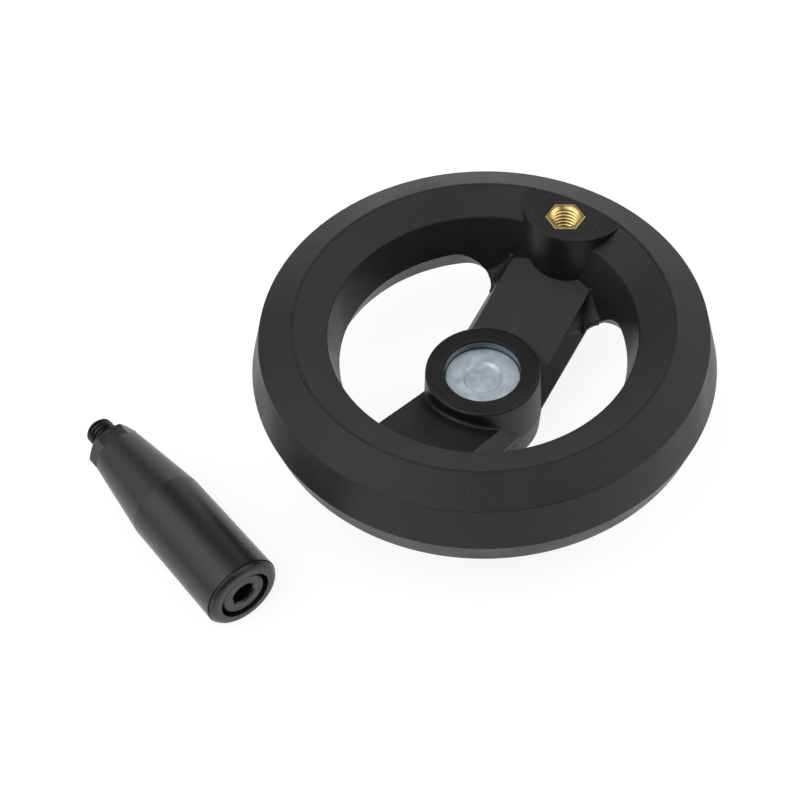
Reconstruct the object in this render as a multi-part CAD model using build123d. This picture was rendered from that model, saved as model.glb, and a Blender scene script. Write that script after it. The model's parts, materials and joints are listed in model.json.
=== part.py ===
from build123d import *
import os
from math import asin, atan2, cos, degrees, pi, radians, sin, sqrt, tan

# Two-spoke machine handwheel with a revolving handle that is off and lies beside it.
#
# Frame: millimetres, +Z up. The origin is on the wheel's axis, at the back face of the hub,
# which is also the plane that the wheel and the handle lie on. The crossbar runs along X, and
# the boss for the handle is on the +X side.

# ---- Driving dimensions -------------------------------------------------------------------

# Wheel rim: radii from the wheel's axis, heights above the back of the hub.
wheel_r = 62.5
rim_width = 23.65
rim_bottom_z = 20.5
rim_parting_z = 28.35
bore_parting_z = 27.7
rim_crest_z = 43.8
crest_inset = 12.25
crest_round = 1.2
shoulder_inset = 2.95
shoulder_drop = 3.85
shoulder_round = 0.4
bore_edge_inset = 21.3
bore_edge_drop = 4.4
lower_draft_out = 2.0
lower_draft_in = 3.05
rim_wall = 4.0
rim_edge_round = 0.8
rim_ribs = 24
rib_thick = 2.4

# The rim's inner wall beside the spokes: its parting line dips towards the corner.
web_half_angle = 33.6
dip_half_angle = 43.0
dip_parting_z = 24.0
corner_round_top = 1.0
corner_round_foot = 3.4
corner_lip = 1.5

# Hub and the crossbar's two spokes.
hub_length = 21.65
hub_parting_z = 8.0
hub_r = 16.6
hub_top_r = 15.8
hub_back_r = 16.0
hub_edge_round = 0.9
spoke_top_half = 12.6
spoke_half = 15.55
spoke_top_z = 10.9
spoke_rise = 0.43
spoke_side_drop = 4.05
spoke_side_growth = 0.07
spoke_lip = 0.6
spoke_skin = 3.2
spoke_side_skin = 2.8
spoke_cells = 2
root_round = 1.0

# Boss for the handle, and its threaded insert, placed from the outside of the rim.
boss_inset = 13.1
boss_r = 14.8
boss_draft = 1.4
boss_edge_round = 0.35
boss_pad_drop = 0.2
insert_inset = 18.9
insert_af = 10.0
insert_length = 14.0
insert_collar_r = 9.0
insert_groove = 2.0
insert_groove_r = 4.7

# Steel bush in the hub.
bush_r = 12.5
bush_cover = 0.6
mouth_r = 10.75
mouth_round = 0.35
counterbore_r = 10.5
counterbore_depth = 3.05
recess_r = 4.85
recess_depth = 0.8
recess_chamfer = 0.7
shaft_r = 5.0
shaft_depth = 13.0
drill_angle = 118.0

# Screw thread shared by the insert and the stud: M8.
thread_r = 4.0
thread_core_r = 3.4
thread_chamfer = 0.75

# Handle: stations are measured along its axis from the outer end.
grip_length = 59.7
grip_r = 10.5
grip_waist_r = 10.3
grip_neck_r = 7.5
grip_taper_at = 36.2
end_face_r = 8.2
end_bead_at = 1.1
end_bead_bulge = 0.2
end_ring = 1.6
end_groove_d = 0.3
head_r = 6.5
head_height = 8.0
head_recess = 0.6
head_chamfer = 0.6
head_gap = 0.7
socket_af = 6.0
socket_depth = 4.0
sleeve_r = 5.4
running_clearance = 0.06
screw_clearance = 0.2
collar_af = 13.0
collar_thick = 4.5
collar_gap = 0.2
collar_chamfer_angle = 30.0
shank_r = 3.6
stud_neck = 0.8
screw_length = 63.2
tip_chamfer = 0.7

# Where the handle lies: centre of its outer end seen from above, and the heading of its axis.
handle_x = -87.27
handle_y = 17.17
handle_heading = 72.7

# ---- Worked out from the driving dimensions ------------------------------------------------

rim_in_r = wheel_r - rim_width
crest_r = wheel_r - crest_inset
shoulder_r = wheel_r - shoulder_inset
shoulder_z = rim_crest_z - shoulder_drop
bore_edge_r = wheel_r - bore_edge_inset
bore_edge_z = rim_crest_z - bore_edge_drop
pad_z = rim_crest_z - boss_pad_drop
boss_at = wheel_r - boss_inset
insert_at = wheel_r - insert_inset
bore_draft = (bore_edge_r - rim_in_r) / (bore_edge_z - bore_parting_z)
undercut_slope = lower_draft_in / (bore_parting_z - rim_bottom_z)
head_seat = head_recess + head_height
collar_at = grip_length + collar_gap
screw_tip = head_seat + screw_length
rest_tilt = asin((grip_r - grip_waist_r) / (grip_taper_at - end_ring))


def turned(points):
    """A full turned solid from an outline of (radius, height) points."""
    return revolve(upright(points), Axis.Z)


def upright(points, turn=0):
    """A flat face through the wheel's axis, from (radius, height) points, turned about it."""
    face = make_face(Polyline(*[(r, 0, z) for r, z in points], close=True))
    return Rot(Z=turn) * face


def vertex_at(face, r, z):
    """The corner of a face that lies nearest to the given radius and height."""
    return face.vertices().sort_by_distance((r, 0, z))[0]


def spoke_top(s):
    """Height of a spoke's upper face at distance s from the wheel's axis."""
    return spoke_top_z + spoke_rise * s


def spoke_edge(s):
    """Height of the lower edge of a spoke's sloping side at distance s."""
    return spoke_top(s) - spoke_side_drop - spoke_side_growth * s


def wall_r(z):
    """Radius of the rim's inner wall, as drafted from its upper edge down to the spokes' foot."""
    return rim_in_r + bore_draft * (z - bore_parting_z)


def section(s, outline):
    """A flat section across the spoke at distance s, from (width, height) points."""
    return make_face(Polyline(*[(s, w, z) for w, z in outline], close=True))


# ---- Wheel ---------------------------------------------------------------------------------

def rim():
    """The rim's outer form: drafted walls each side of the parting line, and a ridged crown."""
    foot = (wheel_r - lower_draft_out, rim_bottom_z)
    outline = [
        (wheel_r, rim_parting_z),
        (shoulder_r, shoulder_z),
        (crest_r, rim_crest_z),
        (bore_edge_r, bore_edge_z),
        (wall_r(rim_bottom_z), rim_bottom_z),
        foot,
    ]
    face = upright(outline)
    rounds = [
        (foot, rim_edge_round),
        ((bore_edge_r, bore_edge_z), rim_edge_round),
        ((crest_r, rim_crest_z), crest_round),
        ((shoulder_r, shoulder_z), shoulder_round),
    ]
    for corner, radius in rounds:
        face = fillet(vertex_at(face, *corner), radius)
    return revolve(face, Axis.Z)


def undercut_outline(parting_z):
    """What the lower half of the mould adds to a window: the wall drafts outwards from there."""
    clear = 3.0
    edge_r = wall_r(parting_z)
    foot_r = edge_r + undercut_slope * (parting_z - rim_bottom_z + clear)
    foot_z = rim_bottom_z - clear
    return [(edge_r - clear, parting_z), (edge_r, parting_z), (foot_r, foot_z), (edge_r - clear, foot_z)]


def window_undercut(side):
    """The undercut of one window's rim wall, whose parting line dips at both ends."""
    level, dipped = undercut_outline(bore_parting_z), undercut_outline(dip_parting_z)
    cut = Rot(Z=side + dip_half_angle) * revolve(
        upright(level), Axis.Z, revolution_arc=180 - 2 * dip_half_angle
    )
    for start, end in ((dip_half_angle, web_half_angle), (180 - dip_half_angle, 180 - web_half_angle)):
        cut += loft([upright(level, side + start), upright(dipped, side + end)], ruled=True)
    return cut


def corner_outline(half, wall, radius, height):
    """A section of a window's corner, rounded where a spoke's side meets the rim's wall."""
    depth = 2.5
    middle_y = half + radius
    middle_x = sqrt((wall - radius) ** 2 - middle_y ** 2)
    turn = atan2(middle_y, middle_x)
    bisector = (turn - pi / 2) / 2

    def at(x, y):
        return (x, y, height(x, y))

    on_side = at(middle_x, half)
    on_wall = at(wall * cos(turn), wall * sin(turn))
    on_round = at(middle_x + radius * cos(bisector), middle_y + radius * sin(bisector))
    in_rim = at((wall + depth) * cos(turn), (wall + depth) * sin(turn))
    in_root = at(wall + depth, half - depth)
    in_spoke = at(middle_x, half - depth)
    outline = [
        ThreePointArc(on_side, on_round, on_wall),
        Polyline(on_wall, in_rim, in_root, in_spoke, on_side),
    ]
    return make_face(outline)


def window_corner():
    """Fills one corner of a window, with a round that grows from the spoke's top to its foot."""
    lip_z = rim_bottom_z + corner_lip
    start_s = rim_in_r * cos(radians(web_half_angle)) - corner_round_foot / 2
    start_z = spoke_edge(start_s) - spoke_lip
    rise_x = spoke_rise - spoke_side_growth
    crease_r = wall_r(lip_z)
    crease_x = crease_r * cos(radians(web_half_angle))
    crease_y = crease_r * sin(radians(web_half_angle))
    rise_y = (rim_bottom_z - start_z - rise_x * (crease_x - start_s)) / (crease_y - spoke_half)

    def foot(x, y):
        return start_z + rise_x * (x - start_s) + rise_y * (y - spoke_half)

    def parting(x, y):
        return foot(x, y) + corner_lip

    root_s = rim_in_r - corner_round_top
    lift = spoke_top(root_s) - foot(root_s, spoke_top_half)

    def top(x, y):
        return foot(x, y) + lift

    grow = undercut_slope * corner_lip
    return loft([
        corner_outline(spoke_half - grow, crease_r + grow, corner_round_foot + grow, foot),
        corner_outline(spoke_half, crease_r, corner_round_foot, parting),
        corner_outline(spoke_top_half, rim_in_r, corner_round_top, top),
    ], ruled=True)


def spoke_outline(s, above=0.0):
    """A spoke's section, which can be carried on above its upper face at the same side slope."""
    top, edge = spoke_top(s), spoke_edge(s)
    lean = (spoke_half - spoke_top_half) / (top - edge)
    half = spoke_top_half - lean * above
    return [
        (-half, top + above), (half, top + above), (spoke_half, edge),
        (spoke_half, edge - spoke_lip), (-spoke_half, edge - spoke_lip), (-spoke_half, edge),
    ]


def spoke():
    """One spoke: a flat upper face with rounded roots, sloping sides and a short lip under them."""
    reach = rim_in_r + 2 * root_round
    wide = spoke_half + 2 * root_round

    def plate(s):
        return [
            (-wide, spoke_top(s)), (wide, spoke_top(s)),
            (wide, spoke_edge(s) - spoke_lip), (-wide, spoke_edge(s) - spoke_lip),
        ]

    wall = turned([(wall_r(0), 0), (wall_r(rim_crest_z), rim_crest_z), (wheel_r, rim_crest_z), (wheel_r, 0)])
    blank = loft([section(0, plate(0)), section(reach + wide, plate(reach + wide))], ruled=True)
    blank = Rot(Z=90) * wall + (blank + Rot(Z=90) * hub())
    roots = [
        edge for edge in blank.edges()
        if abs(edge.center().Z - spoke_top(edge.center().X)) < 0.01 and abs((edge @ 0.5).Y) < 0.01
    ]
    blank = fillet(roots, root_round)
    above = 3 * root_round
    envelope = loft(
        [section(0, spoke_outline(0, above)), section(reach, spoke_outline(reach, above))], ruled=True
    )
    return blank & envelope


def hub():
    """The hub's outer form: drafted both ways from its parting line, with a rounded top."""
    outline = [(0, 0), (hub_back_r, 0), (hub_r, hub_parting_z), (hub_top_r, hub_length), (0, hub_length)]
    face = upright(outline)
    return revolve(fillet(vertex_at(face, hub_top_r, hub_length), hub_edge_round), Axis.Z)


def boss():
    """The round boss that rises from the spoke to a flat pad, cut back to the rim's crown."""
    foot_z = spoke_top(boss_at - boss_r) - 1
    foot_r = boss_r - boss_draft * (pad_z - foot_z) / rim_width
    outline = [(0, foot_z), (foot_r, foot_z), (boss_r, pad_z), (0, pad_z)]
    face = upright(outline)
    column = Pos(boss_at, 0, 0) * revolve(fillet(vertex_at(face, boss_r, pad_z), boss_edge_round), Axis.Z)
    crown = Cylinder(crest_r, 2 * rim_crest_z)
    return column & crown


def under_side():
    """What the rim and the spokes leave open below them, for trimming the corners' feet."""
    reach = rim_in_r + rim_width
    depth = rim_bottom_z

    def below(s):
        foot = spoke_edge(s) - spoke_lip
        return [(-spoke_half, foot), (spoke_half, foot), (spoke_half, foot - depth), (-spoke_half, foot - depth)]

    under_spoke = loft([section(0, below(0)), section(reach, below(reach))], ruled=True)
    foot_r = wall_r(rim_bottom_z + corner_lip) + undercut_slope * corner_lip
    under_rim = turned([(foot_r, 0), (wheel_r + 1, 0), (wheel_r + 1, rim_bottom_z), (foot_r, rim_bottom_z)])
    return under_spoke + under_rim


def rim_core():
    """The channel that lightens the rim from below, divided by radial ribs."""
    below = 2 * rim_wall
    skin = upright([
        (wheel_r, rim_parting_z),
        (shoulder_r, shoulder_z),
        (crest_r, rim_crest_z),
        (bore_edge_r, bore_edge_z),
        (rim_in_r, bore_parting_z),
        (rim_in_r + lower_draft_in, rim_bottom_z),
        (rim_in_r + lower_draft_in, rim_bottom_z - below),
        (wheel_r - lower_draft_out, rim_bottom_z - below),
        (wheel_r - lower_draft_out, rim_bottom_z),
    ])
    channel = revolve(offset(skin, -rim_wall, kind=Kind.INTERSECTION), Axis.Z)
    for i in range(rim_ribs):
        rib = Pos(crest_r, 0, rim_parting_z) * Box(2 * rim_width, rib_thick, 2 * rim_width)
        channel -= Rot(Z=360 * (i + 0.5) / rim_ribs) * rib
    return channel


def spoke_cores():
    """Shallow pockets under a spoke, with a rib along its middle and one across it."""
    inner = hub_r + spoke_skin
    outer = wall_r(rim_bottom_z) - spoke_skin
    pitch = (outer - inner + rib_thick) / spoke_cells
    cores = []
    for side in (-1, 1):
        for i in range(spoke_cells):
            start = inner + i * pitch
            faces = []
            for s in (start, start + pitch - rib_thick):
                floor, mouth = spoke_top(s) - spoke_skin, spoke_edge(s) - 2 * spoke_lip
                near = side * rib_thick / 2
                far_floor = side * (spoke_top_half - spoke_side_skin)
                far_mouth = side * (spoke_half - spoke_side_skin)
                faces.append(section(s, [(near, floor), (far_floor, floor), (far_mouth, mouth), (near, mouth)]))
            cores.append(loft(faces, ruled=True))
    return cores


def insert_blank():
    """The insert's outside: hexagon bar with a turned groove that holds it in the moulding."""
    bar = extrude(RegularPolygon(insert_af / 2, 6, major_radius=False), insert_length)
    corner = insert_af / sqrt(3)
    ring = Cylinder(2 * corner, insert_groove) - Cylinder(insert_groove_r, insert_groove)
    bar -= Pos(0, 0, insert_length / 2) * ring
    return Pos(insert_at, 0, pad_z - insert_length) * bar


def bush_space():
    """The room for the bush, and the mouth above it whose edge is rounded."""
    face = upright([
        (0, -1),
        (bush_r, -1),
        (bush_r, hub_length - bush_cover),
        (mouth_r, hub_length - bush_cover),
        (mouth_r, hub_length),
        (bush_r, hub_length),
        (bush_r, hub_length + 1),
        (0, hub_length + 1),
    ])
    return revolve(fillet(vertex_at(face, mouth_r, hub_length), mouth_round), Axis.Z)


def wheel_body():
    """The moulding: rim, crossbar, hub and boss in one piece, ribbed underneath."""
    arm = spoke()
    body = Rot(Z=90) * rim() + arm + Rot(Z=180) * arm + Rot(Z=90) * hub() + boss()
    corner = window_corner()
    corners = corner + mirror(corner, Plane.XZ)
    corners += Rot(Z=180) * corners
    under = under_side()
    body += corners - under - Rot(Z=180) * under
    body -= window_undercut(0)
    body -= window_undercut(180)
    pillar = Pos(insert_at, 0, 0) * Cylinder(insert_collar_r, 2 * rim_crest_z)
    body -= rim_core() - pillar
    for core in spoke_cores():
        body -= core - pillar
        body -= Rot(Z=180) * core
    return body - insert_blank() - bush_space()


# ---- Metal parts of the wheel --------------------------------------------------------------

def hub_bush():
    """Turned steel bush: counterbore and recess in front, pilot bore for the shaft behind."""
    top = hub_length - bush_cover
    floor = hub_length - counterbore_depth
    drill_tip = shaft_depth + shaft_r / tan(radians(drill_angle / 2))
    return turned([
        (0, drill_tip),
        (shaft_r, shaft_depth),
        (shaft_r, 0),
        (bush_r, 0),
        (bush_r, top),
        (counterbore_r, top),
        (counterbore_r, floor),
        (recess_r + recess_chamfer, floor),
        (recess_r, floor - recess_chamfer),
        (recess_r, floor - recess_depth),
        (0, floor - recess_depth),
    ])


def handle_insert():
    """The brass insert, bored to its thread's core, with a lead-in at its mouth."""
    bore = Pos(insert_at, 0, pad_z - insert_length / 2) * Cylinder(thread_core_r, 2 * insert_length)
    mouth = Pos(insert_at, 0, 0) * turned([
        (0, pad_z - thread_chamfer),
        (thread_core_r, pad_z - thread_chamfer),
        (thread_core_r + thread_chamfer, pad_z),
        (0, pad_z),
    ])
    return insert_blank() - bore - mouth


# ---- Handle, modelled along +Z from its outer end -------------------------------------------

def laid_down(shape):
    """Lays a piece of the handle on the ground, on the straight part of its grip."""
    height = grip_r * cos(rest_tilt) + end_ring * sin(rest_tilt)
    turn = Rot(Y=90 + degrees(rest_tilt)) * shape
    return Pos(handle_x, handle_y, height) * (Rot(Z=handle_heading) * turn)


def handle_grip():
    """The grip: near-straight for its outer part, then tapering to the collar."""
    well_r = head_r + head_gap
    well_floor = head_seat + running_clearance
    bore_r = sleeve_r + running_clearance
    bead_r = grip_r - end_groove_d
    bead_round = atan2(end_bead_at, bead_r - end_face_r)
    bead_middle = (
        (end_face_r + bead_r) / 2 + end_bead_at * end_bead_bulge * sin(bead_round),
        0,
        end_bead_at / 2 - (bead_r - end_face_r) * end_bead_bulge * cos(bead_round),
    )
    bead = ThreePointArc((end_face_r, 0, 0), bead_middle, (bead_r, 0, end_bead_at))
    rest = Polyline(
        (bead_r, 0, end_bead_at),
        (bead_r, 0, end_ring),
        (grip_r, 0, end_ring),
        (grip_waist_r, 0, grip_taper_at),
        (grip_neck_r, 0, grip_length),
        (bore_r, 0, grip_length),
        (bore_r, 0, well_floor),
        (well_r, 0, well_floor),
        (well_r, 0, 0),
        (end_face_r, 0, 0),
    )
    return laid_down(revolve(make_face([bead, rest]), Axis.Z))


def handle_sleeve():
    """Steel sleeve that the grip turns on, with the hexagon collar that meets the boss."""
    hexagon = extrude(RegularPolygon(collar_af / 2, 6, major_radius=False, rotation=30), collar_thick)
    corner = collar_af / sqrt(3)
    rim_r = corner + screw_clearance
    cut = (rim_r - collar_af / 2) * tan(radians(collar_chamfer_angle))
    crown = turned([
        (0, 0),
        (rim_r, 0),
        (rim_r, collar_thick - cut),
        (collar_af / 2, collar_thick),
        (0, collar_thick),
    ])
    collar = Pos(0, 0, collar_at) * (hexagon & crown)
    tube = Pos(0, 0, (head_seat + collar_at) / 2) * Cylinder(sleeve_r, collar_at - head_seat)
    bore = Cylinder(thread_r + screw_clearance, 3 * screw_length)
    return laid_down(collar + tube - bore)


def handle_screw():
    """Socket head cap screw: its head is sunk in the grip and its end is the stud."""
    thread_at = collar_at + collar_thick + stud_neck
    blank = turned([
        (0, head_recess),
        (head_r - head_chamfer, head_recess),
        (head_r, head_recess + head_chamfer),
        (head_r, head_seat),
        (shank_r, head_seat),
        (shank_r, thread_at),
        (thread_r, thread_at),
        (thread_r, screw_tip - tip_chamfer),
        (thread_r - tip_chamfer, screw_tip),
        (0, screw_tip),
    ])
    socket = extrude(RegularPolygon(socket_af / 2, 6, major_radius=False), socket_depth)
    return laid_down(blank - Pos(0, 0, head_recess) * socket)


# ---- Output --------------------------------------------------------------------------------

nodes = {
    "wheel_body": wheel_body(),
    "hub_bush": hub_bush(),
    "handle_insert": handle_insert(),
    "handle_grip": handle_grip(),
    "handle_sleeve": handle_sleeve(),
    "handle_screw": handle_screw(),
}

os.makedirs("parts", exist_ok=True)
for name, shape in nodes.items():
    export_step(shape, f"parts/{name}.step")
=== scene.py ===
# %% [markdown]
# # A machine handwheel and its handle, dressed in Blender
# The model that comes in is the handwheel at its real size: a moulded wheel with two spokes, a
# steel bush in its hub, a brass insert in its boss, and the handle, which has been unscrewed and
# lies beside the wheel. This lesson adds the camera, the light and the finishes, and models the
# wheel's window corners and the screw threads. The work goes in small cells, and each cell prints
# what it made or measured.

# %% Load the model and measure it
import json
from math import atan2, cos, pi, radians, sin

import bmesh
import bpy
from mathutils import Matrix, Vector
from mathutils.kdtree import KDTree


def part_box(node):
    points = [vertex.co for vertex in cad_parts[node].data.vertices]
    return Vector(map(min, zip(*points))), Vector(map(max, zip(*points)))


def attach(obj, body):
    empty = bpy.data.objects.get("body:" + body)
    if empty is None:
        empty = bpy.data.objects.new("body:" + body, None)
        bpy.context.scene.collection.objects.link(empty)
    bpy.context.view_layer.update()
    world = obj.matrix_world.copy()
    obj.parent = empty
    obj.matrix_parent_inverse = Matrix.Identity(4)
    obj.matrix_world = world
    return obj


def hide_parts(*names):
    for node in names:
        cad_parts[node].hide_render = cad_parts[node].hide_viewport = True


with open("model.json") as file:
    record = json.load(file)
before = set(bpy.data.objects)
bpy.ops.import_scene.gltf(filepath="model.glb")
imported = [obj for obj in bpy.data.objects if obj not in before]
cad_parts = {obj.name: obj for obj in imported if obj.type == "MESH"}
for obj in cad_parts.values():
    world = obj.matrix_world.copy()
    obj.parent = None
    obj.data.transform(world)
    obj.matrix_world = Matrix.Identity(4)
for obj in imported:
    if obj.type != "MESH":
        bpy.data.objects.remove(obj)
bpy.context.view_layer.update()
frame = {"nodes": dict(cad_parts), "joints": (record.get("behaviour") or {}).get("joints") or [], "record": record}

MM = 0.001
SHARP_FROM = radians(30)
nodes = frame["nodes"]
mounts = {mount["name"]: mount for mount in frame["record"]["mounts"]}
print("nodes", sorted(nodes))

# %% [markdown]
# ## The camera
# A product picture is taken with a longish lens, which keeps circles close to true ellipses. The
# camera here stands about 44 cm from the point that it looks at, and about 51 degrees above the
# floor. Its roll is small, and it is a turn about the line of sight, so it is applied last.

# %% Place the camera
CAMERA_PLACE = Vector((-224.37, -140.75, 340.66)) * MM
CAMERA_AIM = Vector((-6.79, 23.97, 0.0)) * MM
CAMERA_ROLL = radians(-4.358)

camera_data = bpy.data.cameras.new("camera")
camera_data.lens = 67.99
camera_data.sensor_width = 36.0
camera_data.clip_start = 10 * MM
camera = bpy.data.objects.new("camera", camera_data)
bpy.context.scene.collection.objects.link(camera)
sight = CAMERA_AIM - CAMERA_PLACE
turn = sight.to_track_quat("-Z", "Y").to_matrix().to_4x4() @ Matrix.Rotation(CAMERA_ROLL, 4, "Z")
camera.matrix_world = Matrix.Translation(CAMERA_PLACE) @ turn
bpy.context.scene.camera = camera
print("camera to aim in mm", round(sight.length / MM))

# %% [markdown]
# ## Building materials from nodes
# Every finish below is a small node tree, and the same few steps come back in all of them. So a
# handful of helpers comes first: one adds a node and wires its inputs in a single call, one does
# arithmetic, one makes noise, and one stretches a value from one range to another. Distances in
# the patterns are in millimetres, because a Mapping node scales the object's own coordinates.

# %% Helpers for node trees
def add_node(tree, kind, sets=None, **inputs):
    """Adds a node, sets its properties, and fills or links its inputs by name."""
    node = tree.nodes.new(kind)
    for key, value in (sets or {}).items():
        setattr(node, key, value)
    for key, value in inputs.items():
        fill(tree, node.inputs[key.replace("_", " ")], value)
    return node


def fill(tree, socket, value):
    """Links a socket to another one, or gives it a plain value."""
    if isinstance(value, bpy.types.NodeSocket):
        tree.links.new(value, socket)
    else:
        socket.default_value = value


def calc(tree, operation, *values):
    """One step of arithmetic."""
    node = add_node(tree, "ShaderNodeMath", {"operation": operation})
    for socket, value in zip(node.inputs, values):
        fill(tree, socket, value)
    return node.outputs[0]


def remap(tree, value, low, high, to_low, to_high, smooth=False):
    """Stretches a value from one range to another, and holds it inside the new range."""
    kind = "SMOOTHSTEP" if smooth else "LINEAR"
    ranges = {"From_Min": low, "From_Max": high, "To_Min": to_low, "To_Max": to_high}
    node = add_node(tree, "ShaderNodeMapRange", {"interpolation_type": kind}, Value=value, **ranges)
    return node.outputs["Result"]


def noise(tree, place, per_mm, detail=2.0):
    """Cloudy noise with the given number of cells in each millimetre."""
    sets = {"normalize": True}
    node = add_node(tree, "ShaderNodeTexNoise", sets, Vector=place, Scale=per_mm, Detail=detail)
    return node.outputs["Factor"] if "Factor" in node.outputs else node.outputs["Fac"]


def blend_color(tree, amount, first, second):
    """Mixes two colours, each a plain one or the result of another step."""
    node = add_node(tree, "ShaderNodeMix", {"data_type": "RGBA"})
    fill(tree, node.inputs[0], amount)
    for socket, color in zip((node.inputs[6], node.inputs[7]), (first, second)):
        fill(tree, socket, color if isinstance(color, bpy.types.NodeSocket) else (*color, 1))
    return node.outputs[2]


def millimetres(tree, centre=(0, 0, 0), turn=(0, 0, 0)):
    """The object's own coordinates in millimetres, from a chosen centre and turned."""
    place = add_node(tree, "ShaderNodeTexCoord").outputs["Object"]
    sets = {"vector_type": "TEXTURE"}
    node = add_node(tree, "ShaderNodeMapping", sets, Vector=place, Location=centre, Rotation=turn)
    node.inputs["Scale"].default_value = (MM, MM, MM)
    return node.outputs["Vector"]


def new_material(name, roughness, metallic=0.0, specular=0.5):
    """A material and its shader; numbers that are the same everywhere are set on its sockets."""
    material = bpy.data.materials.new(name)
    material.use_nodes = True
    shader = material.node_tree.nodes["Principled BSDF"]
    shader.inputs["Roughness"].default_value = roughness
    shader.inputs["Metallic"].default_value = metallic
    shader.inputs["Specular IOR Level"].default_value = specular
    return material, shader


def bump(tree, height, depth_mm, normal=None):
    """Turns a height between 0 and 1 into a bump of that depth."""
    node = add_node(tree, "ShaderNodeBump", Height=height, Strength=1.0, Distance=depth_mm * MM)
    if normal is not None:
        fill(tree, node.inputs["Normal"], normal)
    return node.outputs["Normal"]


def axis_parts(tree, place):
    """Distance from the Z axis, and height along it."""
    parts = add_node(tree, "ShaderNodeSeparateXYZ", Vector=place)
    squares = [calc(tree, "POWER", calc(tree, "ABSOLUTE", parts.outputs[k]), 2.0) for k in "XY"]
    return calc(tree, "SQRT", calc(tree, "ADD", *squares)), parts.outputs["Z"]


def dress(name, material):
    """Gives one material to the whole of a CAD node."""
    mesh = nodes[name].data
    mesh.materials.clear()
    mesh.materials.append(material)
    print(name, "is finished in", material.name)


print("helpers ready")

# %% [markdown]
# ## Glass-filled nylon for the wheel
# The wheel is one injection moulding in black nylon with short glass fibres in it. Such a surface
# is never even: the melt leaves cloudy patches that are a little glossier or duller, the texture
# of the steel mould gives it a fine grain, and fibre ends near the skin show as a few pale
# specks. It could be a flat black with some roughness, but then the broad faces would look like
# paint. So three noises of different size drive the colour, the roughness and the bump. One more
# pattern draws the faint round line that the mould's core pin leaves on the pad, around the brass
# insert: it is a narrow band by distance from the insert's axis.

# %% Moulded nylon
def nylon(name, dark, pale, dull, glossy, grain_mm, turn=(0, 0, 0), stretch=(1, 1, 1)):
    """Black nylon: base colours, range of roughness, and depth of the grain."""
    material, shader = new_material(name, dull, specular=0.35)
    tree = material.node_tree
    place = millimetres(tree, turn=turn)
    stretched = add_node(tree, "ShaderNodeVectorMath", {"operation": "MULTIPLY"})
    fill(tree, stretched.inputs[0], place)
    stretched.inputs[1].default_value = stretch
    clouds = noise(tree, stretched.outputs[0], 0.09, 3.0)
    grain = noise(tree, place, 1.7, 4.0)
    specks = remap(tree, noise(tree, place, 2.6, 0.0), 0.80, 0.86, 0.0, 1.0)
    body = blend_color(tree, remap(tree, clouds, 0.35, 0.65, 0.0, 1.0), dark, pale)
    colour = blend_color(tree, specks, body, (0.06, 0.06, 0.06))
    fill(tree, shader.inputs["Base Color"], colour)
    uneven = calc(tree, "ADD", calc(tree, "MULTIPLY", clouds, 0.7), calc(tree, "MULTIPLY", grain, 0.3))
    fill(tree, shader.inputs["Roughness"], remap(tree, uneven, 0.35, 0.65, glossy, dull))
    fill(tree, shader.inputs["Normal"], bump(tree, grain, grain_mm))
    return material, tree, shader


wheel_nylon, tree, shader = nylon(
    "wheel_nylon", (0.008, 0.008, 0.0085), (0.012, 0.012, 0.0125), 0.5, 0.38, 0.035
)

insert_low, insert_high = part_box("handle_insert")
insert_x = (insert_low.x + insert_high.x) / 2
CORE_PIN_R, LINE_HALF, LINE_DEPTH = 9.1, 0.18, -0.05
PAD_NEAR, PAD_FAR = 0.2, 0.5
from_axis, above_pad = axis_parts(tree, millimetres(tree, (insert_x, 0, insert_high.z)))
off_line = calc(tree, "ABSOLUTE", calc(tree, "SUBTRACT", from_axis, CORE_PIN_R))
line = remap(tree, off_line, 0.0, LINE_HALF, 1.0, 0.0)
on_pad = remap(tree, calc(tree, "ABSOLUTE", above_pad), PAD_NEAR, PAD_FAR, 1.0, 0.0)
witness = calc(tree, "MULTIPLY", line, on_pad)
grain_normal = shader.inputs["Normal"].links[0].from_socket
fill(tree, shader.inputs["Normal"], bump(tree, witness, LINE_DEPTH, grain_normal))
print("the core pin's line has a radius of", CORE_PIN_R, "mm, at x", round(insert_x / MM, 2))

# %% [markdown]
# ## The wheel's window corners
# Where a spoke runs into the rim, the mould has a round that is small at the spoke's upper face and
# grows towards the foot, and the parting line in the window's wall sinks smoothly towards it. The
# CAD model has these corners in a plainer form. A bevel could not follow two drafted walls with a
# growing radius, so the corner is made as a toolmaker makes it: a copy of the wheel is filled up
# in its four corners, and then the upper and the lower half of the mould are taken away again.
# Each of them is a loft through window outlines, and an outline is a wall arc, the spoke's side
# and a corner round that touches both.

# %% Outlines of a window's corner
RIM_IN_R, WALL_DRAFT = 38.85, 0.2009
WALL_PARTING_Z, FOOT_Z, UNDERCUT = 27.7, 20.5, 0.4236
SPOKE_HALF, SPOKE_TOP_HALF = 15.55, 12.6
SPOKE_TOP_Z, SPOKE_RISE, SIDE_DROP, SIDE_GROWTH = 10.9, 0.43, 4.05, 0.07
SPOKE_TOP_AT_RIM = 26.0
UPPER_ROUND, FOOT_ROUND, LOWER_ROUND = 1.3, 5.0, 6.5
CUT, FADE, SIDE_CLEAR = 0.015, 0.08, 0.3
LINE_FROM, FILL_STEP = 20.0, 0.4
LINE_POINTS, ARC_POINTS, WALL_POINTS = 6, 14, 8
TOLERANCE, SLIVER = 0.06, 0.01 * MM ** 2
WINDOW_REACH, FILL_REACH, REACH_MARGIN = radians(54), radians(47), radians(2)
WINDOW_INSIDE = Vector((13.0, 26.0))
ROUND_POWER = 1.5
HALVINGS, SLOPE_STEP = 40, 0.5
WALL_FADE_FROM, WALL_FADE_TO = WALL_PARTING_Z + 0.1, WALL_PARTING_Z + 0.9
SIDE_FADE_FROM = 22.5
FILL_PLACES = (24.0, 26.5, 29.0, 31.5, 34.0, 36.0)
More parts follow.
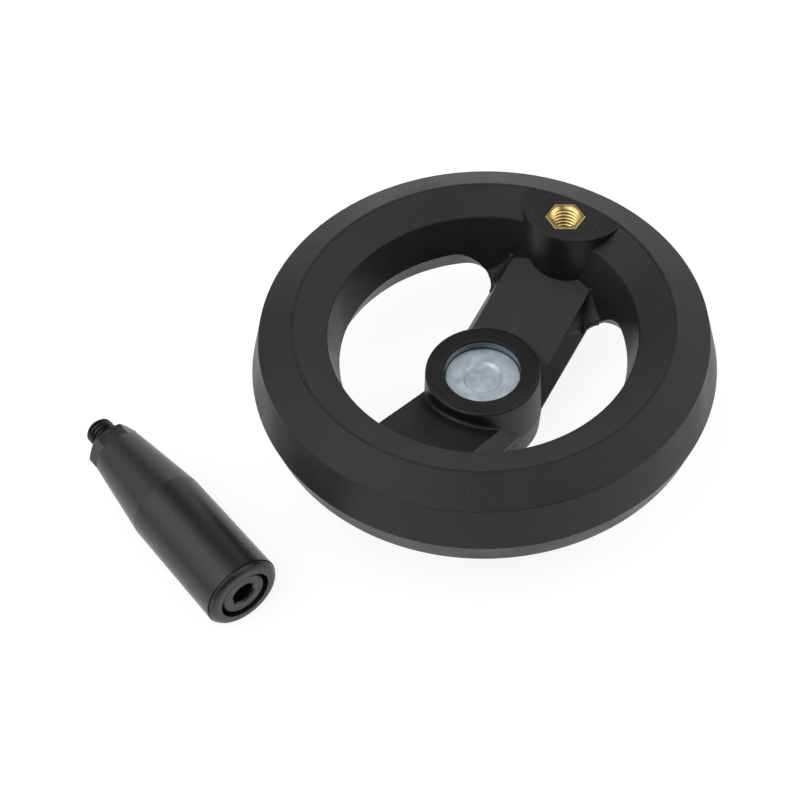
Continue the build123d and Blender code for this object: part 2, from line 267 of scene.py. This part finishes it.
FILL_BURIED, FILL_PROUD, FILL_IN_RIM, FILL_INNER_R = 1.0, 0.3, 0.7, 33.0


def side_half(x, z):
    """Half width of a spoke at a place along it and a height, on its sloping side."""
    top = SPOKE_TOP_Z + SPOKE_RISE * x
    share = min((top - z) / (SIDE_DROP + SIDE_GROWTH * x), 1.0)
    return SPOKE_TOP_HALF + (SPOKE_HALF - SPOKE_TOP_HALF) * share


def upper_wall(z):
    """Radius of the window's wall from the upper half of the mould."""
    return RIM_IN_R + WALL_DRAFT * (z - WALL_PARTING_Z)


def lower_wall(z):
    """Radius of the window's wall from the lower half of the mould."""
    return RIM_IN_R + UNDERCUT * (WALL_PARTING_Z - z)


def ease(value, start, end):
    """How far a value has gone from a start to an end, between 0 and 1."""
    return min(max((value - start) / (end - start), 0.0), 1.0)


def corner_outline(z, wall, radius, side):
    """A closed outline at one height: along the spoke's side, round the corner, along the wall."""
    def centre_from(x):
        slope = Vector((1.0, side(x + SLOPE_STEP) - side(x - SLOPE_STEP))).normalized()
        return Vector((x, side(x))) + radius * Vector((-slope.y, slope.x))

    low, high = LINE_FROM, wall
    for _ in range(HALVINGS):
        touch = (low + high) / 2
        low, high = (touch, high) if centre_from(touch).length < wall - radius else (low, touch)
    centre = centre_from(touch)
    to_side, to_wall = Vector((touch, side(touch))) - centre, centre
    first, last = atan2(to_side.y, to_side.x), atan2(to_wall.y, to_wall.x)
    points = []
    for i in range(LINE_POINTS):
        x = LINE_FROM + (touch - LINE_FROM) * i / LINE_POINTS
        points.append(Vector((x, side(x))))
    for i in range(ARC_POINTS + 1):
        angle = first + (last - first) * i / ARC_POINTS
        points.append(centre + radius * Vector((cos(angle), sin(angle))))
    for i in range(1, WALL_POINTS + 1):
        angle = last + (WINDOW_REACH - last) * i / WALL_POINTS
        reach = wall - FADE * ease(angle, FILL_REACH + REACH_MARGIN, WINDOW_REACH)
        points.append(reach * Vector((cos(angle), sin(angle))))
    points.append(WINDOW_INSIDE)
    return [(p.x, p.y, z) for p in points]


def upper_outline(z):
    """The upper half of the mould, whose corner round grows downwards."""
    depth = max(SPOKE_TOP_AT_RIM - z, 0.0) / (SPOKE_TOP_AT_RIM - FOOT_Z)
    radius = UPPER_ROUND + (FOOT_ROUND - UPPER_ROUND) * depth ** ROUND_POWER
    wall = upper_wall(z) + CUT - FADE * ease(z, WALL_FADE_FROM, WALL_FADE_TO)

    def side(x):
        return side_half(x, z) - CUT + FADE * ease(x, SIDE_FADE_FROM, LINE_FROM)

    return corner_outline(z, wall, radius, side)


def lower_outline(z):
    """The lower half of the mould, which is wider at the foot."""
    return corner_outline(z, lower_wall(z) + CUT, LOWER_ROUND, lambda x: SPOKE_HALF + SIDE_CLEAR)


def fill_outline(z):
    """What fills the corner up first, from inside the spoke to inside the rim."""
    def side(x):
        under_top = z < SPOKE_TOP_Z + SPOKE_RISE * x - FILL_STEP
        return side_half(x, z) - (FILL_BURIED if under_top else -FILL_PROUD)

    deep = lower_wall(min(z, WALL_PARTING_Z)) + FILL_IN_RIM
    end = side(FILL_PLACES[-1])
    first = atan2(end, (deep ** 2 - end ** 2) ** 0.5)
    points = [Vector((x, side(x))) for x in FILL_PLACES]
    for i in range(WALL_POINTS + 1):
        angle = first + (FILL_REACH - first) * i / WALL_POINTS
        points.append(deep * Vector((cos(angle), sin(angle))))
    points.append(FILL_INNER_R * Vector((cos(FILL_REACH), sin(FILL_REACH))))
    return [(p.x, p.y, z) for p in points]


print("an outline has", len(upper_outline(FOOT_Z)), "points, and the fill has", len(fill_outline(FOOT_Z)))

# %% [markdown]
# A tool is the skin through its outlines at several heights, closed at both ends. One quarter of
# the wheel is enough to work out, since the other three corners are its mirror images. The wheel
# itself arrives as loose triangles, so a copy of it is joined into one closed mesh first: a solid
# can only be added to or cut if it has no open edges.

# %% Tools for the corners
JOIN_WITHIN = 0.001 * MM


def corner_tools(name, outline, heights):
    """A closed loft through the outlines at these heights, in all four corners."""
    mesh = bmesh.new()
    for mirror_x in (1, -1):
        for mirror_y in (1, -1):
            rings = []
            for z in heights:
                points = [Vector((x * mirror_x, y * mirror_y, h)) * MM for x, y, h in outline(z)]
                rings.append([mesh.verts.new(p) for p in points])
            for low, high in zip(rings, rings[1:]):
                for i in range(len(low)):
                    j = (i + 1) % len(low)
                    mesh.faces.new((low[i], low[j], high[j], high[i]))
            mesh.faces.new(rings[0][::-1])
            mesh.faces.new(rings[-1])
    bmesh.ops.triangulate(mesh, faces=mesh.faces)
    bmesh.ops.recalc_face_normals(mesh, faces=mesh.faces)
    data = bpy.data.meshes.new(name)
    mesh.to_mesh(data)
    mesh.free()
    tool = bpy.data.objects.new(name, data)
    bpy.context.scene.collection.objects.link(tool)
    return tool


def levels(low, high, steps):
    """Evenly spaced heights."""
    return [low + (high - low) * i / steps for i in range(steps + 1)]


def merged_copy(name, source):
    """A copy of a CAD node's mesh with its loose triangles joined."""
    mesh = bmesh.new()
    mesh.from_mesh(source.data)
    bmesh.ops.remove_doubles(mesh, verts=mesh.verts, dist=JOIN_WITHIN)
    open_edges = sum(1 for edge in mesh.edges if not edge.is_manifold)
    data = bpy.data.meshes.new(name)
    mesh.to_mesh(data)
    mesh.free()
    copy = bpy.data.objects.new(name, data)
    bpy.context.scene.collection.objects.link(copy)
    print(name, "has", len(data.polygons), "faces and", open_edges, "open edges")
    return copy


wheel = merged_copy("moulded_wheel", nodes["wheel_body"])

# %% [markdown]
# Cutting a mesh leaves long thin triangles, and their averaged shading would show as smears. So
# each corner of each triangle gets its shading direction from what the surface really is: the CAD
# model's own direction where that point was there before, and in a window corner the direction
# worked out from the spoke's top, its side or the two walls.

# %% Shading directions
ZONE_X, ZONE_Z = 20 * MM, 19 * MM
SAME_PLACE = 0.004 * MM
SAME_WAY, FACING = 0.85, 0.5


def corner_surfaces(place):
    """The four faces that meet in a corner: how far off each one is, in mm, and its direction."""
    x, y, z = place / MM
    side_x, side_y = (1 if x > 0 else -1), (1 if y > 0 else -1)
    drop = SIDE_DROP + SIDE_GROWTH * abs(x)
    lean = (SPOKE_HALF - SPOKE_TOP_HALF) / drop
    reach = max((x * x + y * y) ** 0.5, 0.001)
    top_z = SPOKE_TOP_Z + SPOKE_RISE * abs(x)
    along = lean * (SPOKE_RISE - SIDE_GROWTH * (top_z - z) / drop)
    return [
        (abs(z - top_z), Vector((-SPOKE_RISE * side_x, 0, 1))),
        (abs(abs(y) - side_half(abs(x), z)), Vector((-along * side_x, side_y, lean))),
        (abs(reach - upper_wall(z)), Vector((-x / reach, -y / reach, WALL_DRAFT))),
        (abs(reach - lower_wall(z)), Vector((-x / reach, -y / reach, -UNDERCUT))),
    ]


def kept_normals(mesh, source):
    """Shading directions: the CAD model's own, the four faces' in a corner, and new ones elsewhere."""
    tree = KDTree(len(source.loops))
    for i, corner in enumerate(source.loops):
        tree.insert(source.vertices[corner.vertex_index].co, i)
    tree.balance()
    near = [[hit[1] for hit in tree.find_range(v.co, SAME_PLACE)] for v in mesh.vertices]
    known = [normal.vector.copy() for normal in source.corner_normals]
    result = []
    for face in mesh.polygons:
        places = [corner_surfaces(mesh.vertices[k].co) for k in face.vertices]
        on_face = [k for k in range(4) if all(place[k][0] < TOLERANCE for place in places)]
        in_zone = all(
            abs(mesh.vertices[k].co.x) > ZONE_X and mesh.vertices[k].co.z > ZONE_Z for k in face.vertices
        )
        for turn, i in enumerate(face.loop_indices):
            fresh = mesh.corner_normals[i].vector.copy()
            choices = [known[k] for k in near[mesh.loops[i].vertex_index]]
            best = max(choices, key=face.normal.dot, default=fresh)
            if best.dot(face.normal) < SAME_WAY:
                best = fresh
            if on_face and in_zone:
                faces = [places[turn][k][1].normalized() for k in on_face]
                exact = max(faces, key=face.normal.dot)
                best = exact if exact.dot(face.normal) > FACING or face.area < SLIVER else best
            result.append(best)
    return result


print("surfaces in a corner:", len(corner_surfaces(Vector((30, 15, 22)) * MM)))

# %% [markdown]
# Now the corners are filled and the two halves of the mould are taken away, in that order. The
# cuts leave a few points that lie on top of each other, so these are joined, and the count of open
# edges shows that the wheel is still one closed skin.

# %% Re-cut the wheel
FILL_FOOT_Z, FILL_TOP_Z = FOOT_Z + 0.005, WALL_PARTING_Z + 0.05
MOULD_FOOT_Z, UPPER_TOP_Z, LOWER_TOP_Z = FOOT_Z - 1, 28.6, 28.0
WELD_WITHIN = 0.002 * MM

fill_heights = levels(FILL_FOOT_Z, FILL_TOP_Z, 20)
upper_heights = levels(MOULD_FOOT_Z, UPPER_TOP_Z, 14)
lower_heights = levels(MOULD_FOOT_Z, LOWER_TOP_Z, 10)
cuts = [
    ("UNION", corner_tools("corner_fill", fill_outline, fill_heights)),
    ("DIFFERENCE", corner_tools("upper_mould", upper_outline, upper_heights)),
    ("DIFFERENCE", corner_tools("lower_mould", lower_outline, lower_heights)),
]
for operation, tool in cuts:
    modifier = wheel.modifiers.new(tool.name, "BOOLEAN")
    modifier.operation = operation
    modifier.solver = "EXACT"
    modifier.object = tool
bpy.context.view_layer.update()
cut = bpy.data.meshes.new_from_object(wheel.evaluated_get(bpy.context.evaluated_depsgraph_get()))
wheel.modifiers.clear()
for _, tool in cuts:
    bpy.data.objects.remove(tool)
tidy = bmesh.new()
tidy.from_mesh(cut)
bmesh.ops.triangulate(tidy, faces=tidy.faces)
bmesh.ops.remove_doubles(tidy, verts=tidy.verts, dist=WELD_WITHIN)
bmesh.ops.dissolve_degenerate(tidy, edges=tidy.edges, dist=WELD_WITHIN)
bmesh.ops.triangulate(tidy, faces=tidy.faces)
print("open edges after the cuts:", sum(1 for edge in tidy.edges if not edge.is_manifold))
tidy.to_mesh(cut)
tidy.free()
wheel.data = cut
cut.materials.clear()
cut.materials.append(wheel_nylon)
cut.shade_smooth()
cut.set_sharp_from_angle(angle=SHARP_FROM)
cut.normals_split_custom_set(kept_normals(cut, nodes["wheel_body"].data))
print("the wheel now has", len(cut.polygons), "faces")
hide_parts("wheel_body")
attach(wheel, "wheel")

# %% [markdown]
# ## The grip's nylon
# The grip is moulded in the same black nylon, but in a polished mould, so it is smoother and
# shows one long soft highlight. The melt runs along the grip, and so its faint clouds are long and
# thin. A Mapping node turns the pattern so that its Z runs along the handle, whose direction is
# the axis of its joint in the frame.

# %% Handle axes and the grip's finish
spin = frame["joints"][0]
handle_end = Vector(spin["pos_m"])
handle_z = -Vector(spin["axis"]).normalized()
handle_y = Vector((0, 0, 1)).cross(handle_z).normalized()
handle_x = handle_y.cross(handle_z)
handle_turn = Matrix((handle_x, handle_y, handle_z)).transposed()
handle_frame = Matrix.Translation(handle_end) @ handle_turn.to_4x4()

grip_nylon, tree, shader = nylon(
    "grip_nylon", (0.009, 0.009, 0.010), (0.013, 0.013, 0.014), 0.36, 0.26, 0.03,
    turn=handle_turn.to_euler(), stretch=(1, 1, 0.25),
)
shader.inputs["Specular IOR Level"].default_value = 0.5
dress("handle_grip", grip_nylon)
print("the handle points along", [round(v, 3) for v in handle_z])

# %% [markdown]
# ## Turned metal
# The bush is turned steel with bright blue-white zinc plating, the insert is turned brass, and the
# screw and the sleeve are steel blackened in hot salts. A lathe tool leaves very fine grooves that
# run round the axis. Modelling them would cost a great many faces, so they are a bump: noise in
# one dimension, read along the distance from the axis plus the height. Then the faces get rings
# and the bores get hoops. A softer noise spreads slight stains in the plating. The wall of the
# bush's counterbore is painted a dark colour, as painted shade inside the bore, and is given a
# smoother finish than its floor, so that the bore's depth shows.

# %% A turned finish
BORE_R, WALL_FADE = 10.5, (0.45, 0.1)
# Painted shade for the counterbore's wall: a dark colour in place of the plating's own.
BORE_PAINTED_SHADE, WALL_SMOOTHER = (0.10, 0.115, 0.13), 0.5


def turned_metal(name, colors, roughness, groove_mm, per_mm, centre=(0, 0, 0), turn=(0, 0, 0)):
    """Metal with fine tool marks round the Z axis through the centre, and two tones in patches."""
    material, shader = new_material(name, roughness, metallic=1.0)
    tree = material.node_tree
    place = millimetres(tree, centre, turn)
    reach = calc(tree, "ADD", *axis_parts(tree, place))
    marks = add_node(
        tree, "ShaderNodeTexNoise", {"noise_dimensions": "1D"}, W=reach, Scale=per_mm, Detail=3.0
    ).outputs[0]
    stains = noise(tree, place, 0.35, 4.0)
    patches = remap(tree, stains, 0.35, 0.65, 0.0, 1.0)
    fill(tree, shader.inputs["Base Color"], blend_color(tree, patches, *colors))
    uneven = calc(tree, "ADD", calc(tree, "MULTIPLY", marks, 0.4), calc(tree, "MULTIPLY", stains, 0.6))
    spread = 0.25 * roughness
    fill(
        tree, shader.inputs["Roughness"],
        remap(tree, uneven, 0.3, 0.7, roughness - spread, roughness + spread),
    )
    fill(tree, shader.inputs["Normal"], bump(tree, marks, groove_mm))
    return material


zinc = turned_metal("zinc_plate", [(0.64, 0.73, 0.78), (0.74, 0.83, 0.87)], 0.5, 0.006, 5.0)
tree = zinc.node_tree
shader = tree.nodes["Principled BSDF"]
bore_reach = axis_parts(tree, millimetres(tree))[0]
wall_share = remap(tree, bore_reach, BORE_R - WALL_FADE[0], BORE_R - WALL_FADE[1], 0.0, 1.0)
plate = shader.inputs["Base Color"].links[0].from_socket
# Painted shade: the counterbore's wall gets a dark base colour that stands in for the shade inside the bore.
fill(tree, shader.inputs["Base Color"], blend_color(tree, wall_share, plate, BORE_PAINTED_SHADE))
rough = shader.inputs["Roughness"].links[0].from_socket
smooth = calc(tree, "MULTIPLY", rough, remap(tree, wall_share, 0.0, 1.0, 1.0, WALL_SMOOTHER))
fill(tree, shader.inputs["Roughness"], smooth)
dress("hub_bush", zinc)
brass = turned_metal(
    "turned_brass", [(0.78, 0.57, 0.22), (0.86, 0.67, 0.30)], 0.26, 0.004, 6.0, (insert_x, 0, 0)
)
black_oxide = turned_metal(
    "black_oxide", [(0.055, 0.055, 0.055), (0.09, 0.09, 0.09)], 0.38, 0.004, 5.0,
    handle_end, handle_turn.to_euler(),
)
dress("handle_sleeve", black_oxide)

# %% [markdown]
# ## Screw threads with Geometry Nodes
# The CAD model has a smooth stud and a smooth bore, which is right for fitting parts together, but
# the thread is what the eye looks for there. A thread is one groove that repeats at every turn, so
# it is a good job for Geometry Nodes. A flat grid is wrapped into a tube: one direction of the
# grid goes round the axis, and the other climbs by one pitch for each turn. The height of the
# groove depends on the climbing direction alone, so each row of the grid is a helix, and the crest
# runs along the rows with no steps in it. At the two ends the height is held to the length, and a
# cone cuts the crests down, as the chamfer on a real screw does.
#
# The same tree makes the thread in a hole. There the cones have to cut outwards instead of inwards,
# and that is the same sum with every radius given a minus sign, so the tree has an input for it.

# %% The thread's node tree
THREAD_INPUTS = ["Pitch", "Length", "Core Radius", "Crest Radius", "Start Radius", "End Radius", "Side"]
SEGMENTS = 72
ROWS_PER_TURN = 16
ROOT_FLAT, CREST_FLAT = 0.125, 0.4375


def thread_tree():
    """A node tree that turns its sizes, all in metres, into a screw thread along Z."""
    tree = bpy.data.node_groups.new("screw_thread", "GeometryNodeTree")
    for name in THREAD_INPUTS:
        tree.interface.new_socket(name, in_out="INPUT", socket_type="NodeSocketFloat")
    tree.interface.new_socket("Finish", in_out="INPUT", socket_type="NodeSocketMaterial")
    tree.interface.new_socket("Geometry", in_out="OUTPUT", socket_type="NodeSocketGeometry")
    size = tree.nodes.new("NodeGroupInput").outputs

    turns = calc(tree, "ADD", calc(tree, "CEIL", calc(tree, "DIVIDE", size["Length"], size["Pitch"])), 1.0)
    rows = calc(tree, "ADD", calc(tree, "MULTIPLY", turns, float(ROWS_PER_TURN)), 1.0)
    counts = {"Vertices_X": SEGMENTS + 1, "Vertices_Y": rows}
    grid = add_node(tree, "GeometryNodeMeshGrid", Size_X=1.0, Size_Y=1.0, **counts)
    position = tree.nodes.new("GeometryNodeInputPosition").outputs[0]
    flat = add_node(tree, "ShaderNodeSeparateXYZ", Vector=position)
    round_part = calc(tree, "ADD", flat.outputs["X"], 0.5)
    long_part = calc(tree, "ADD", flat.outputs["Y"], 0.5)
    climb = calc(tree, "SUBTRACT", calc(tree, "MULTIPLY", long_part, turns), 1.0)

    height = calc(tree, "MULTIPLY", calc(tree, "ADD", climb, round_part), size["Pitch"])
    height = calc(tree, "MINIMUM", calc(tree, "MAXIMUM", height, 0.0), size["Length"])
    wave = calc(tree, "ABSOLUTE", calc(tree, "SUBTRACT", calc(tree, "FRACT", climb), 0.5))
    flank = remap(tree, wave, ROOT_FLAT, CREST_FLAT, 0.0, 1.0)
    depth = calc(tree, "SUBTRACT", size["Crest Radius"], size["Core Radius"])
    groove = calc(tree, "ADD", size["Core Radius"], calc(tree, "MULTIPLY", flank, depth))

    side = size["Side"]
    start = calc(tree, "ADD", calc(tree, "MULTIPLY", size["Start Radius"], side), height)
    left = calc(tree, "SUBTRACT", size["Length"], height)
    end = calc(tree, "ADD", calc(tree, "MULTIPLY", size["End Radius"], side), left)
    held = calc(tree, "MINIMUM", calc(tree, "MULTIPLY", groove, side), calc(tree, "MINIMUM", start, end))
    radius = calc(tree, "MULTIPLY", held, side)

    angle = calc(tree, "MULTIPLY", round_part, 2 * pi)
    place = add_node(
        tree, "ShaderNodeCombineXYZ",
        X=calc(tree, "MULTIPLY", radius, calc(tree, "COSINE", angle)),
        Y=calc(tree, "MULTIPLY", radius, calc(tree, "SINE", angle)),
        Z=height,
    )
    bent = add_node(tree, "GeometryNodeSetPosition", Geometry=grid.outputs["Mesh"], Position=place.outputs[0])
    merged = add_node(tree, "GeometryNodeMergeByDistance", Geometry=bent.outputs[0], Distance=0.001 * MM)
    real = add_node(tree, "GeometryNodeRealizeInstances", Geometry=merged.outputs[0])
    finished = add_node(tree, "GeometryNodeSetMaterial", Geometry=real.outputs[0], Material=size["Finish"])
    add_node(tree, "NodeGroupOutput", Geometry=finished.outputs[0])
    return tree


def thread_mesh(name, tree, finish, sizes_mm, side):
    """Runs the tree with the given sizes and returns the thread as a plain mesh."""
    holder = bpy.data.objects.new(name, bpy.data.meshes.new(name))
    bpy.context.scene.collection.objects.link(holder)
    modifier = holder.modifiers.new("thread", "NODES")
    modifier.node_group = tree
    values = [size * MM for size in sizes_mm] + [side, finish]
    sockets = [item for item in tree.interface.items_tree if item.in_out == "INPUT"]
    for socket, value in zip(sockets, values):
        modifier[socket.identifier] = value
    bpy.context.view_layer.update()
    evaluated = holder.evaluated_get(bpy.context.evaluated_depsgraph_get())
    mesh = bpy.data.meshes.new_from_object(evaluated)
    bpy.data.objects.remove(holder)
    print(name, "has", len(mesh.polygons), "faces")
    return mesh


threads = thread_tree()
print("the thread's tree has", len(threads.nodes), "nodes")

# %% [markdown]
# ## Parts made of rings
# The rest of the screw and of the insert is round, apart from a hexagon here and there. Such a
# shape is a stack of rings, each with the same number of points, joined by quads. A hexagon fits
# the same scheme if its points lie at the same angles, and then it can pass into a circle at a
# countersink or a groove. The thread has the same number of points round it, so its end rings meet
# these rings point by point and can be welded to them.

# %% Rings, and welding them to a thread
def ring(mesh, kind, size, z):
    """One ring: a circle of that radius, or a hexagon of that half width across its flats."""
    points = []
    for i in range(SEGMENTS):
        angle = 2 * pi * i / SEGMENTS
        reach = size / cos(angle % (pi / 3) - pi / 6) if kind == "hexagon" else size
        points.append(mesh.verts.new((reach * cos(angle) * MM, reach * sin(angle) * MM, z * MM)))
    return points


def stack(mesh, rows, close_start=False, close_end=False):
    """Joins a list of (kind, size, z) rings into a skin, with a flat cap where one is asked for."""
    rings = [ring(mesh, *row) for row in rows]
    for low, high in zip(rings, rings[1:]):
        for i in range(SEGMENTS):
            j = (i + 1) % SEGMENTS
            mesh.faces.new((low[i], low[j], high[j], high[i]))
    for wanted, end, z in ((close_start, rings[0], rows[0][2]), (close_end, rings[-1], rows[-1][2])):
        if wanted:
            middle = mesh.verts.new((0, 0, z * MM))
            for i in range(SEGMENTS):
                mesh.faces.new((end[i], end[(i + 1) % SEGMENTS], middle))


def weld(name, skins, thread, thread_z, place, finish):
    """Joins the rings and the thread into one closed mesh object, and puts it in its place."""
    mesh = bmesh.new()
    mesh.from_mesh(thread)
    bmesh.ops.translate(mesh, verts=mesh.verts, vec=(0, 0, thread_z * MM))
    for rows, close_start, close_end in skins:
        stack(mesh, rows, close_start, close_end)
    bmesh.ops.remove_doubles(mesh, verts=mesh.verts, dist=0.002 * MM)
    bmesh.ops.recalc_face_normals(mesh, faces=mesh.faces)
    open_edges = sum(1 for edge in mesh.edges if not edge.is_manifold)
    bmesh.ops.transform(mesh, matrix=place, verts=mesh.verts)
    data = bpy.data.meshes.new(name)
    mesh.to_mesh(data)
    mesh.free()
    data.materials.append(finish)
    data.shade_smooth()
    data.set_sharp_from_angle(angle=SHARP_FROM)
    piece = bpy.data.objects.new(name, data)
    bpy.context.scene.collection.objects.link(piece)
    print(name, "has", len(data.polygons), "faces and", open_edges, "open edges")
    return piece


print("rings have", SEGMENTS, "points")

# %% [markdown]
# ## The handle's screw
# The handle is held together by one socket head cap screw. Its head sits in the outer end of the
# grip, its shank runs through the sleeve, and the threaded end that comes out of the hexagon
# collar is the stud that goes into the wheel's boss. The thread is M8, so its pitch is 1.25 mm. It
# starts a short way past the collar, where a neck lets the die run out, and its tip is chamfered.
# The two mounts on the handle give the places along the axis, so nothing is measured twice.

# %% Screw
PITCH = 1.25
THREAD_R = 4.0
ROLLED_CORE_R = 3.32
HEAD_R, HEAD_TOP, HEAD_SEAT, HEAD_CHAMFER = 6.5, 0.6, 8.6, 0.6
SOCKET_HALF, SOCKET_FLOOR, SOCKET_LEAD = 3.0, 4.6, 0.45
SHANK_R, NECK_R, TIP_R = 3.6, 3.25, 3.0
SOCKET_MARGIN, NECK_LEAD = 0.1, 0.3

stud = mounts["handle_stud"]
middle = (Vector(stud["pos_m"]) - handle_end).dot(handle_z) / MM
thread_from = middle - stud["dims"]["length_mm"] / 2
tip = max((v.co - handle_end).dot(handle_z) for v in nodes["handle_screw"].data.vertices) / MM
collar_face = (Vector(mounts["handle_seat"]["pos_m"]) - handle_end).dot(handle_z) / MM
print("collar at", round(collar_face, 2), "thread from", round(thread_from, 2), "to", round(tip, 2))

stud_thread = thread_mesh(
    "stud_thread", threads, black_oxide,
    [PITCH, tip - thread_from, ROLLED_CORE_R, THREAD_R, NECK_R, TIP_R], 1.0,
)
head_and_shank = [
    ("hexagon", SOCKET_HALF, SOCKET_FLOOR),
    ("hexagon", SOCKET_HALF, HEAD_TOP + SOCKET_LEAD),
    ("round", SOCKET_HALF / cos(pi / 6) + SOCKET_MARGIN, HEAD_TOP),
    ("round", HEAD_R - HEAD_CHAMFER, HEAD_TOP),
    ("round", HEAD_R, HEAD_TOP + HEAD_CHAMFER),
    ("round", HEAD_R, HEAD_SEAT),
    ("round", SHANK_R, HEAD_SEAT),
    ("round", SHANK_R, collar_face),
    ("round", NECK_R, collar_face + NECK_LEAD),
    ("round", NECK_R, thread_from),
]
tip_cap = [("round", TIP_R, tip)]
screw = weld(
    "cap_screw", [(head_and_shank, True, False), (tip_cap, True, False)],
    stud_thread, thread_from, handle_frame, black_oxide,
)
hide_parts("handle_screw")
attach(screw, "wheel")

# %% [markdown]
# ## The brass insert
# The insert is cut from hexagon bar, so that it can't turn in the moulding, and a groove round its
# middle keeps it from being pulled out. Its top edge is lightly bevelled, and the thread has a
# lead-in at its mouth. The thread in a hole uses the same tree as the stud's, with the other side.

# %% Insert
INSERT_HALF, INSERT_BEVEL = 5.0, 0.25
GROOVE_R, GROOVE_HALF = 4.7, 1.0
TAPPED_CORE_R, MOUTH_R = 3.4, 4.15

insert_length = (insert_high.z - insert_low.z) / MM
groove_z = insert_length / 2
insert_thread = thread_mesh(
    "insert_thread", threads, brass,
    [PITCH, insert_length, TAPPED_CORE_R, THREAD_R, MOUTH_R, MOUTH_R], -1.0,
)
outside = [
    ("round", MOUTH_R, 0),
    ("hexagon", INSERT_HALF, 0),
    ("hexagon", INSERT_HALF, groove_z - GROOVE_HALF),
    ("round", GROOVE_R, groove_z - GROOVE_HALF),
    ("round", GROOVE_R, groove_z + GROOVE_HALF),
    ("hexagon", INSERT_HALF, groove_z + GROOVE_HALF),
    ("hexagon", INSERT_HALF, insert_length - INSERT_BEVEL),
    ("hexagon", INSERT_HALF - INSERT_BEVEL, insert_length),
    ("round", MOUTH_R, insert_length),
]
insert_place = Matrix.Translation((insert_x, 0, insert_low.z))
insert = weld("tapped_insert", [(outside, False, False)], insert_thread, 0, insert_place, brass)
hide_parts("handle_insert")
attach(insert, "wheel")

# %% [markdown]
# ## The white table
# The object stands on a plain white surface. A white that is lit by the same light as the object
# would look light grey, and turning the lights up would spoil the object. So the table gives off
# some light of its own, but only to the camera and to reflections, where a strength of 1 is white.
# The rest of it is an ordinary matt white, which keeps a faint shadow under the object and throws
# soft light up on its lower faces.

# %% Table
TABLE_SIZE, TABLE_GLOW, GLOW_SHARE = 6.0, 1.15, 0.75
TABLE_WHITE = (0.9, 0.9, 0.9, 1)


def table_material():
    material = bpy.data.materials.new("white_table")
    material.use_nodes = True
    tree = material.node_tree
    tree.nodes.clear()
    paint = add_node(tree, "ShaderNodeBsdfDiffuse", Color=TABLE_WHITE)
    glow = add_node(tree, "ShaderNodeEmission", Color=(1, 1, 1, 1), Strength=TABLE_GLOW)
    path = add_node(tree, "ShaderNodeLightPath")
    seen = calc(tree, "MAXIMUM", path.outputs["Is Camera Ray"], path.outputs["Is Glossy Ray"])
    seen = calc(tree, "MAXIMUM", seen, path.outputs["Is Transmission Ray"])
    share = calc(tree, "MULTIPLY", seen, GLOW_SHARE)
    both = add_node(tree, "ShaderNodeMixShader")
    fill(tree, both.inputs[0], share)
    fill(tree, both.inputs[1], paint.outputs[0])
    fill(tree, both.inputs[2], glow.outputs[0])
    add_node(tree, "ShaderNodeOutputMaterial", Surface=both.outputs[0])
    return material


bpy.ops.mesh.primitive_plane_add(size=TABLE_SIZE)
table = bpy.context.object
table.name = "table"
table.data.materials.append(table_material())
print("table laid")

# %% [markdown]
# ## Soft light
# Black plastic shows hardly any colour of its own: what the eye sees on it is the room. So the
# light is planned as what each face will mirror. It could be made of area lamps, but a studio with
# big diffusers has no hard edges anywhere, and so a painted dome does it better: a very dark sky,
# and round soft patches on it. There is a large diffuser on the right and a wider one on the left,
# made of three patches, and a bright wall low at the far end. Everything else stays nearly dark.
# Each patch fades between two angles from its middle, and it is placed by its bearing to the left
# of the camera's line and by its height above the horizon.

# %% Dome
SKY_LEVEL = 0.08
PATCHES = {
    "right diffuser": (-90, 40, 0, 48, 1.40),
    "left diffuser, low": (90, 40, 0, 48, 1.10),
    "left diffuser, high": (108, 72, 0, 48, 0.84),
    "left diffuser, edge": (135, 40, 0, 48, 0.45),
    "far wall, right": (-54, 8, 0, 42, 0.40),
    "far wall, middle": (-18, 8, 0, 42, 0.70),
    "far wall, left": (18, 8, 0, 42, 0.58),
}

world = bpy.data.worlds.new("studio")
bpy.context.scene.world = world
world.use_nodes = True
tree = world.node_tree
sky = tree.nodes["Background"]
direction = add_node(tree, "ShaderNodeTexCoord").outputs["Generated"]
camera_bearing = sight.xy.angle_signed(Vector((1, 0)))


def patch(bearing, height, inner, outer, level):
    """How much one soft patch adds to the sky in each direction."""
    middle = Matrix.Rotation(camera_bearing + radians(bearing), 3, "Z") @ Vector((1, 0, 0))
    middle = Vector((*(middle.xy * cos(radians(height))), sin(radians(height))))
    nearness = add_node(tree, "ShaderNodeVectorMath", {"operation": "DOT_PRODUCT"})
    fill(tree, nearness.inputs[0], direction)
    nearness.inputs[1].default_value = middle
    near, far = cos(radians(inner)), cos(radians(outer))
    return remap(tree, nearness.outputs["Value"], far, near, 0.0, level, smooth=True)


level = SKY_LEVEL
for name, sizes in PATCHES.items():
    level = calc(tree, "ADD", level, patch(*sizes))
    print(name, "at", sizes[:2], "adds", sizes[-1])
path = add_node(tree, "ShaderNodeLightPath")
shown = calc(tree, "MAXIMUM", level, path.outputs["Is Camera Ray"])
fill(tree, sky.inputs["Strength"], shown)
sky.inputs["Color"].default_value = (1, 1, 1, 1)

# %% [markdown]
# ## Last setting
# The last cell sets the colour view to Standard.

# %% Finish
bpy.context.scene.view_settings.view_transform = "Standard"
